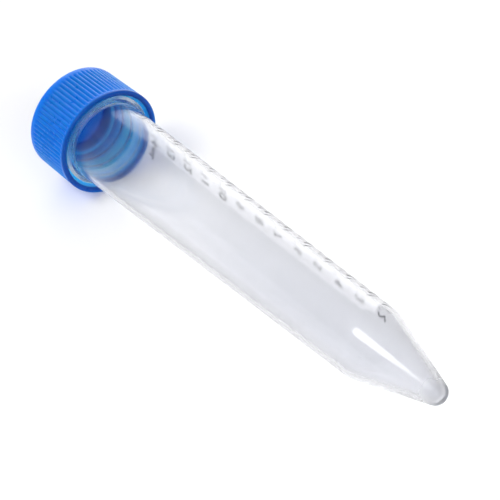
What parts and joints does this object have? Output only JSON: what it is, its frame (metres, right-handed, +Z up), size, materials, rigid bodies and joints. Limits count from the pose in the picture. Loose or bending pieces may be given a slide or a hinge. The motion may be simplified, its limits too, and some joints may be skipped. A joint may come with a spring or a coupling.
{
  "type": "conical centrifuge tube",
  "caption": "Clear plastic conical tube with a printed volume scale and a ribbed screw cap, lying on its side.",
  "frame": {"origin": "middle of the bounding box's underside, on the surface that the tube lies on", "axes": "+X towards the tube's tip, -X towards the cap, +Z up, and the tube's axis 2.4 degrees off level because the cap is wider than the tube"},
  "size_m": [0.1204, 0.0226, 0.0228],
  "materials": {
    "clear_plastic": "translucent",
    "blue_plastic": "semi-gloss"
  },
  "bodies": {
    "tube": {"tube": "clear_plastic"},
    "cap": {"screw_cap": "blue_plastic"}
  },
  "joints": [
    {"name": "cap_lift", "type": "slide", "parent": "tube", "child": "cap", "axis": [-0.9991, 0, 0.0423], "range_m": [0, 0.03]}
  ]
}
